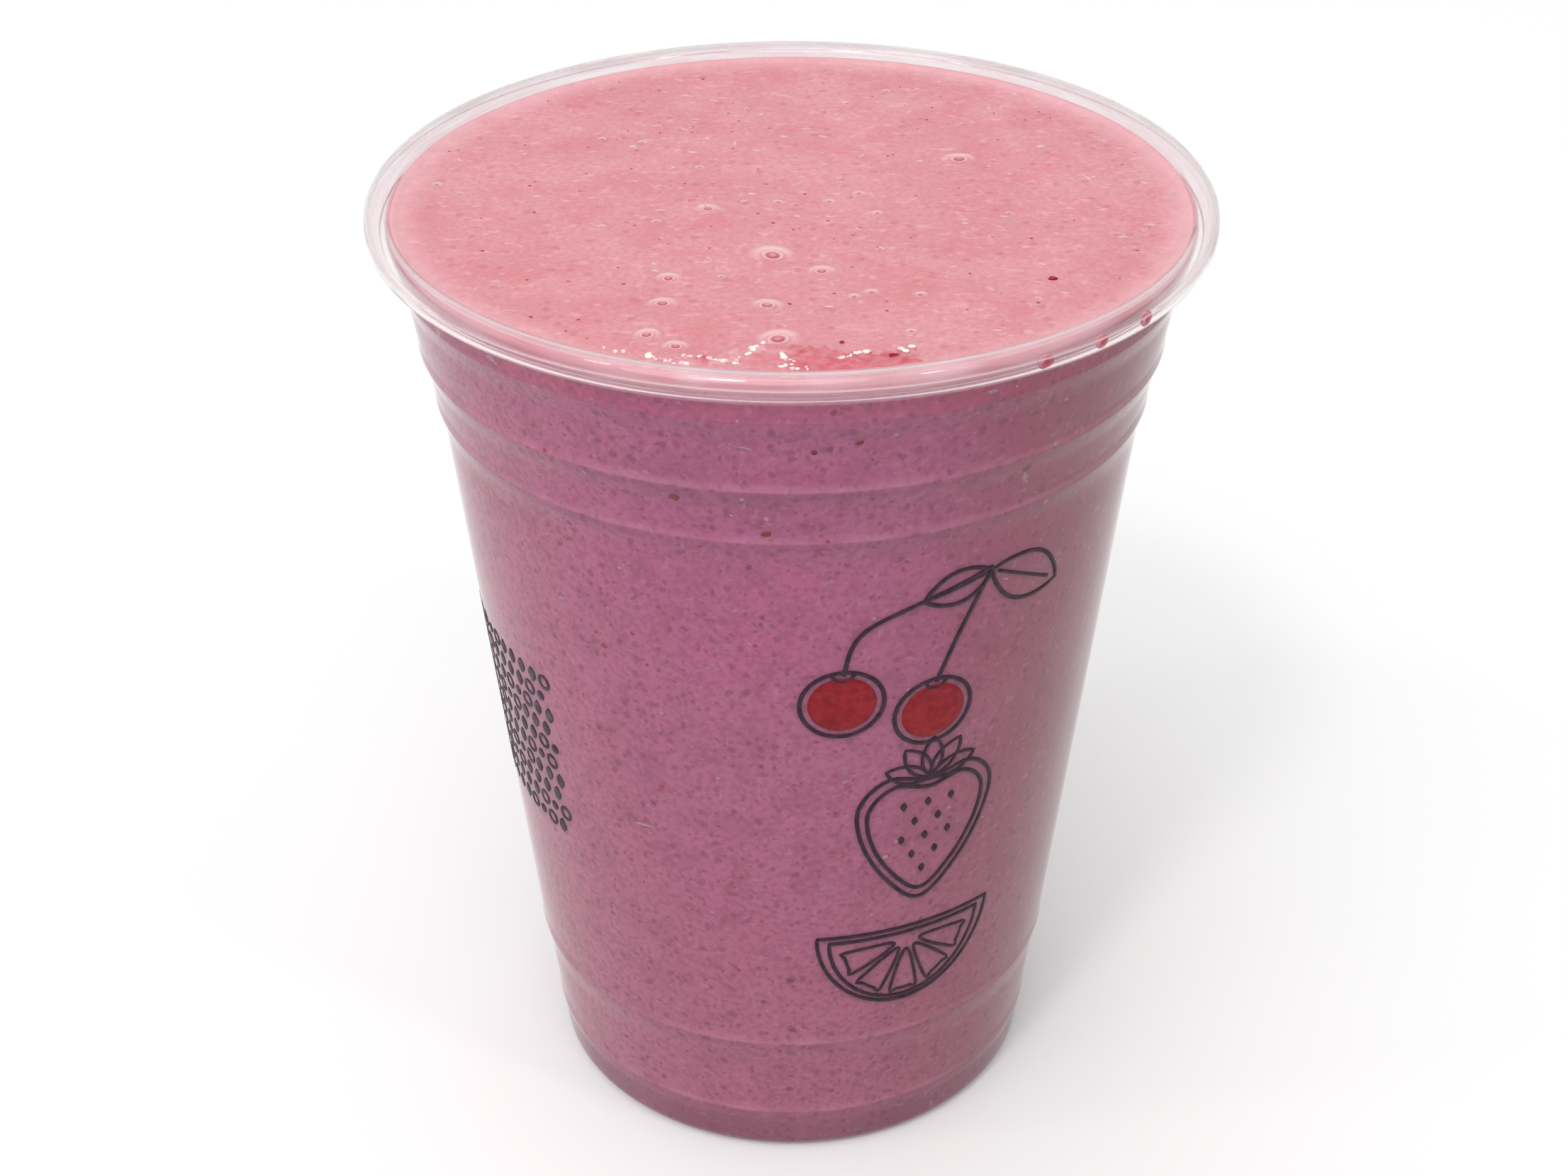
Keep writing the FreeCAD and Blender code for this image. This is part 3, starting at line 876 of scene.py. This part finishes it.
# Painted glints along the pulp, in short runs of near-white blobs: from, to, and how many.
GLINT_RUNS = [(-14.6, -40.0, -13.9, -41.1, 5), (-13.0, -41.4, -10.9, -42.1, 7),
              (-8.5, -40.9, -5.6, -41.8, 9), (-4.8, -40.6, -3.0, -37.6, 7),
              (-0.9, -39.6, 0.2, -42.4, 8), (-1.2, -43.0, 2.0, -43.3, 6),
              (5.2, -41.2, 8.0, -38.9, 11), (-19.4, -38.6, -16.8, -39.6, 3),
              (-11.2, -40.6, -9.4, -40.2, 4), (11.0, -38.4, 12.4, -38.9, 3)]
glints = Heap()
for x0, y0, x1, y1, count in GLINT_RUNS:
    for t in np.linspace(0, 1, count):
        x = x0 + (x1 - x0) * t + rng.normal(0, 0.24)
        y = y0 + (y1 - y0) * t + rng.normal(0, 0.26)
        half = rng.uniform(0.12, 0.46)
        deep = half * rng.uniform(0.45, 0.9)
        glints.add(*blob((x, y, drink_z(x, y) + 0.12), (half, 0, 0), (0, deep, 0),
                         (0, 0, rng.uniform(0.14, 0.3)), rng, 0.25, 6, 10), rng.uniform(0, 1))
glints.piece("painted_glints", painted_glint_blobs(), "smoothie")

# ---------------------------------------------------------------- against the wall


def against_wall(heap, azimuth, z, half_wide, half_tall, lie, tone, rough=0.25):
    """A flat fleck that shows through the wall: it stands a little out of the drink."""
    across, out = side_frame(azimuth)
    place = out * (inside_r(z) + INTO_WALL) + np.array([0, 0, z])
    up = out * (inside_r(z + half_tall) - inside_r(z - half_tall)) + (0, 0, 2 * half_tall)
    up = up / np.linalg.norm(up)
    out = np.cross(across, up)
    along = (across * math.cos(lie) + up * math.sin(lie)) * half_wide
    tall = (-across * math.sin(lie) + up * math.cos(lie)) * half_tall
    heap.add(*blob(place, along, tall, out * 0.09, rng, rough), tone)


# Azimuth, height, half width and shade of the skins that stand out.
WALL_SKINS = [(-16.6, 102.6, 0.62, 0.75), (-3.6, 98.5, 0.55, 0.7), (35.7, 102.6, 0.6, 1.0),
              (-32, 79, 0.42, 0.4), (3, 109.5, 0.36, 0.9), (9, 110.5, 0.4, 0.8)]
LEFT_STREAKS = 6
SMALL_WALL_SKINS = 300
for azimuth, z, half, tone in WALL_SKINS:
    against_wall(skins, azimuth, z, half, half * 0.85, rng.uniform(-0.5, 0.5), tone)
for _ in range(LEFT_STREAKS):
    against_wall(skins, rng.uniform(-60, -52), rng.uniform(91, 95), rng.uniform(0.4, 0.9), 0.16,
                 -0.7, -0.1)
for _ in range(SMALL_WALL_SKINS):
    z = 8 + 106 * rng.uniform(0, 1) ** 0.75
    half = rng.uniform(0.12, 0.34)
    against_wall(skins, rng.uniform(-180, 180), z, half, half * rng.uniform(0.6, 1),
                 rng.uniform(-1, 1), rng.uniform(-0.2, 0.35))
skins.piece("berry_skins", dark_fleck(), "smoothie")

# Azimuth, height, half width and half height of the pale smears that stand out.
WALL_FROTH = [(-57, 113.6, 0.5, 0.7), (-44, 114.3, 0.9, 0.4), (-36, 113.2, 0.5, 0.22),
              (-62, 108, 0.5, 0.8), (36, 101.2, 0.4, 1.2), (27, 114.6, 0.6, 0.3),
              # the last two lie on small glints at the front of the wall: partly froth, partly
              # painted highlight
              (-28.2, 53.1, 1.4, 0.24), (-6.2, 109.9, 0.9, 0.16), (-6.9, 103.2, 0.3, 0.34)]
SMALL_WALL_FROTH = 230
foam = Heap()
for azimuth, z, half_wide, half_tall in WALL_FROTH:
    against_wall(foam, azimuth, z, half_wide, half_tall, rng.uniform(-0.3, 0.3), 0, 0.35)
for _ in range(SMALL_WALL_FROTH):
    z = 6 + 110 * rng.uniform(0, 1) ** 0.6
    half = rng.uniform(0.12, 0.4)
    against_wall(foam, rng.uniform(-180, 180), z, half, half * rng.uniform(0.4, 1),
                 rng.uniform(-1, 1), 0)
foam.piece("wall_froth", side_froth(), "smoothie")

# ---------------------------------------------------------------- drops on the cup

# Azimuth and half height of the pink drops on the rim.
RIM_DROPS = [(32.3, 0.78), (41.4, 0.72), (50.1, 0.78)]
# Azimuth, height and half height of the clear drops on the wall.
WATER_DROPS = [(-6.4, 109.7, 0.5), (-8.3, 110.2, 0.28), (-6.9, 102.6, 0.42),
               (-5.0, 101.0, 0.2), (-27.0, 52.0, 0.3)]


def drop(heap, azimuth, r, z, half_wide, half_tall, deep, rough):
    """A drop on the cup, with its middle at radius r and height z."""
    across, out = side_frame(azimuth)
    heap.add(*blob(out * r + np.array([0, 0, z]), across * half_wide, (0, 0, half_tall),
                   out * deep, rng, rough, 10, 18))


rim_drops = Heap()
for azimuth, size in RIM_DROPS:
    drop(rim_drops, azimuth, ROLL_MIDDLE + 1.05, ROLL_TOP_Z - 0.45, size * 1.25, size, 0.5, 0.1)
rim_drops.piece("rim_drops", droplet("rim_drop", (0.82, 0.24, 0.32, 1)), "smoothie")

water = Heap()
for azimuth, z, size in WATER_DROPS:
    drop(water, azimuth, wall_r(z) - 0.02, z, size, size, size * 0.45, 0.04)
water.piece("water_drops", droplet("water_drop", (0.98, 0.98, 0.98, 1)), "clear_plastic")

# ---------------------------------------------------------------- print on the wall

INK_OUT = 0.05
INK_IN = -0.04


def spline(corners, closed, step=0.5):
    """A smooth line through given corners, in straight parts of about step."""
    spots = [np.array(c, float) for c in corners]
    count = len(spots)
    line = []
    for i in range(count if closed else count - 1):
        if closed:
            a, b, c, d = (spots[(i + k) % count] for k in (-1, 0, 1, 2))
        else:
            a, b, c, d = (spots[min(max(i + k, 0), count - 1)] for k in (-1, 0, 1, 2))
        parts = max(2, math.ceil(np.linalg.norm(c - b) / step))
        for t in np.arange(parts) / parts:
            line.append(0.5 * (2 * b + (c - a) * t + (2 * a - 5 * b + 4 * c - d) * t * t
                               + (3 * b - a - 3 * c + d) * t ** 3))
    if not closed:
        line.append(spots[-1])
    return np.array(line)


def around(x, y, radius, start=0, end=360, step=0.5):
    """A round line, or a part of one between two angles in degrees."""
    count = max(6, math.ceil(math.radians(abs(end - start)) * radius / step))
    angles = np.radians(np.linspace(start, end, count + 1))
    line = np.stack([x + radius * np.cos(angles), y + radius * np.sin(angles)], axis=1)
    return line[:-1] if abs(end - start) == 360 else line


class Print:
    """Ink on the cup's side, drawn flat: across and up, in millimetres from its middle."""

    def __init__(self, azimuth, height):
        self.azimuth = math.radians(azimuth)
        self.height = height
        self.girth = float(wall_r(height))
        self.heap = Heap()

    def lift(self, flat, out):
        """Flat points laid round the wall, so far out of it."""
        flat = np.asarray(flat)
        turn = self.azimuth + flat[:, 0] / self.girth
        z = self.height + flat[:, 1]
        r = wall_r(z) + out
        return np.stack([r * np.sin(turn), -r * np.cos(turn), z], axis=1)

    def line(self, line, closed=True, width=0.5):
        """A stroke of the given width."""
        line = np.asarray(line)
        if closed:
            along = np.roll(line, -1, axis=0) - np.roll(line, 1, axis=0)
        else:
            along = np.gradient(line, axis=0)
        along = along / np.linalg.norm(along, axis=1)[:, None]
        side = np.stack([-along[:, 1], along[:, 0]], axis=1) * width / 2
        count = len(line)
        points = np.vstack([self.lift(line + side, INK_OUT), self.lift(line - side, INK_OUT),
                            self.lift(line - side, INK_IN), self.lift(line + side, INK_IN)])
        faces = []
        for i in range(count if closed else count - 1):
            k = (i + 1) % count
            for row in range(4):
                nxt = (row + 1) % 4
                faces.append((row * count + i, nxt * count + i, nxt * count + k,
                              row * count + k))
        if not closed:
            faces.append((0, 3 * count, 2 * count, count))
            end = count - 1
            faces.append((end, count + end, 2 * count + end, 3 * count + end))
        self.heap.add(points, faces)

    def fill(self, edge, rings=3):
        """A filled shape whose every edge point is seen from its middle."""
        edge = np.asarray(edge)
        middle = edge.mean(axis=0)
        count = len(edge)
        levels = [middle + (edge - middle) * (k + 1) / rings for k in range(rings)]
        points = np.vstack([self.lift(middle[None], INK_OUT)]
                           + [self.lift(level, INK_OUT) for level in levels]
                           + [self.lift(edge, INK_IN), self.lift(middle[None], INK_IN)])
        faces = []
        for i in range(count):
            k = (i + 1) % count
            faces.append((0, 1 + i, 1 + k))
            for row in range(rings):
                low = 1 + row * count
                faces.append((low + i, low + count + i, low + count + k, low + k))
            faces.append((len(points) - 1, 1 + rings * count + k, 1 + rings * count + i))
        self.heap.add(points, faces)


def leaf(x, y, long, wide, heading):
    """The edge of a leaf from its stalk at x, y, and its middle line."""
    t = np.linspace(0, 1, 15)
    half = wide / 2 * np.sin(math.pi * t) ** 0.8
    edge = np.vstack([np.stack([t * long, half], axis=1),
                      np.stack([t * long, -half], axis=1)[-2:0:-1]])
    middle = np.stack([t[1:-2] * long, 0 * t[1:-2]], axis=1)
    c, s = math.cos(math.radians(heading)), math.sin(math.radians(heading))
    turn = np.array([[c, s], [-s, c]])
    return edge @ turn + (x, y), middle @ turn + (x, y)


THIN = 0.4


def cherries(lines, filled):
    """Two cherries on one stalk, with two leaves."""
    size = 4.6
    stem = (7, 33)
    for x, y, top_y, bend in [(-9, 17.5, 21.6, -5.5), (1.5, 14.5, 18.6, 4.0)]:
        lines.line(around(x, y, size))
        filled.fill(around(x, y, size - 0.85), 5)
        lines.line(spline([(x, top_y), ((x + bend) / 2 + 1, top_y + 6.5), stem], False), False)
        lines.line(around(x, top_y + 0.4, 1.2, 190, 350, 0.3), False, THIN)
    for long, wide, heading in [(11, 6, -28), (8, 4.4, -165)]:
        edge, vein = leaf(7, 32.5, long, wide, heading)
        lines.line(edge)
        lines.line(vein, False, THIN)


def strawberry(lines):
    """A strawberry with a double outline, rows of seeds and a crown of leaves."""
    middle = np.array([2, -4])
    half = [(5.2, 7.2), (8.6, 3.6), (8.0, -2.2), (4.8, -8.2)]
    corners = [(0, 6.2), *half, (0, -12.4), *[(-x, y) for x, y in reversed(half)]]
    edge = spline(corners, True) + (2, -2)
    lines.line(edge)
    lines.line((edge - middle) * 0.86 + middle)
    for row in range(5):
        for place in range(-2, 3):
            x = place * 3.1 + (1.55 if row % 2 else 0)
            if abs(x) < 5.6 - row:
                seed, _ = leaf(x + 2, -row * 2.6, 1.3, 0.8, 90)
                lines.fill(seed)
    for heading in range(20, 161, 35):
        edge, _ = leaf(2, 4.4, 6.0, 2.6, heading)
        lines.line(edge, True, THIN)


def citrus_slice(lines):
    """Half a slice of citrus fruit: rind, pith and five segments."""
    for drop_y, size in [(19.0, 12.2), (19.9, 10.6)]:
        flat_side = np.array([(1 + x, -drop_y) for x in np.arange(size - 0.6, 0.6 - size, -0.6)])
        lines.line(np.vstack([around(1, -drop_y, size, 180, 360), flat_side]))
    for start in range(180, 360, 36):
        wedge = around(1, -20.9, 8.6, start + 5, start + 31)
        heading = math.radians(start + 18)
        point = (1 + 1.9 * math.cos(heading), -20.9 + 1.9 * math.sin(heading))
        corners = wedge[::max(1, len(wedge) // 4)]
        lines.line(spline([point, *corners], True, 0.4), True, 0.42)


def seed_field(lines):
    """A small square of seeds, rings and dots in staggered rows."""
    for row in range(10):
        for place in range(-5, 6):
            x = place * 2.3 + (1.15 if row % 2 else 0)
            y = 11.2 - row * 2.5
            if abs(x) > 11.8:
                continue
            kind = (row * 3 + place * 5) % 7
            if kind in (0, 4):
                lines.line(around(x, y, 0.85, 0, 360, 0.3), True, 0.45)
            elif kind == 2:
                lines.fill(around(x, y, 0.65, 0, 360, 0.3), 2)
            else:
                edge, _ = leaf(x, y - 1.05, 2.2, 1.45, 90)
                lines.fill(edge)


fruit = Print(22, 57)
red_parts = Print(22, 57)
cherries(fruit, red_parts)
strawberry(fruit)
citrus_slice(fruit)
dark_ink = ink("dark_ink", srgb(38, 18, 32), srgb(62, 34, 52))
fruit.heap.piece("print_fruit", dark_ink, "clear_plastic")
red_ink = ink("red_ink", srgb(120, 10, 22), srgb(140, 24, 34))
red_parts.heap.piece("print_red", red_ink, "clear_plastic")

field = Print(-66, 57.5)
seed_field(field)
grey_ink = ink("grey_ink", srgb(46, 30, 44), srgb(80, 60, 76))
field.heap.piece("print_seeds", grey_ink, "clear_plastic")

# ---------------------------------------------------------------- floor, light, camera

FLOOR_R = 3000
FLOOR_SIDES = 96
floor_points = [(math.cos(a) * FLOOR_R, math.sin(a) * FLOOR_R, 0)
                for a in np.linspace(0, 2 * math.pi, FLOOR_SIDES, endpoint=False)]
floor = mesh_object("floor", floor_points, [tuple(range(FLOOR_SIDES))], pale_floor())

world = bpy.data.worlds.new("studio")
scene.world = world
world.use_nodes = True
background = world.node_tree.nodes["Background"]
background.inputs["Color"].default_value = (1, 1, 1, 1)
background.inputs["Strength"].default_value = 0.6


def place_light(data, energy, place, rotation):
    data.energy = energy
    thing = bpy.data.objects.new(data.name, data)
    scene.collection.objects.link(thing)
    thing.location = place
    thing.rotation_euler = rotation


def area_light(name, place, target, size, watts, colour):
    """A round lamp, its places and size in metres, turned to its target."""
    data = bpy.data.lights.new(name, "AREA")
    data.shape = "DISK"
    data.size = size
    data.color = colour
    look = np.array(target, float) - np.array(place, float)
    flat = math.hypot(look[0], look[1])
    rotation = (math.atan2(flat, -look[2]), 0, math.atan2(-look[0], look[1]))
    place_light(data, watts, place, rotation)


def sun_light(name, energy, wide, tip, turn):
    """A sun that is wide degrees across, tipped from overhead and turned, in degrees."""
    data = bpy.data.lights.new(name, "SUN")
    data.angle = math.radians(wide)
    place_light(data, energy, (0, 0, 0), (math.radians(tip), 0, math.radians(turn)))


area_light("overhead", (-0.2, 0.15, 1.2), (0, 0, 0.1), 0.7, 1.2, (1, 0.99, 0.98))
area_light("front_spark", (-0.21, -0.565, 0.9), (0, 0, 0.11), 0.13, 1.3, (1, 1, 1))
area_light("right_spark", (0.42, -0.4, 0.85), (0, 0, 0.11), 0.09, 0.5, (1, 0.98, 0.94))
area_light("left_spark", (-0.52, -0.22, 0.85), (0, 0, 0.11), 0.09, 0.35, (1, 0.98, 0.94))
sun_light("fill", 0.34, 100, -78, 10)
sun_light("key", 0.98, 50, 37, -17)

# The camera stands where the photo's stood, by the fit to the cup's rim, rings and foot.
camera_data = bpy.data.cameras.new("camera")
camera_data.lens = 61.44
camera_data.sensor_width = 36
camera_data.shift_x = -0.00484
camera = bpy.data.objects.new("camera", camera_data)
scene.collection.objects.link(camera)
camera.location = (0, -0.287, 0.2416)
camera.rotation_euler = (math.radians(58.53), 0, 0)
scene.camera = camera
scene.view_settings.view_transform = "Standard"
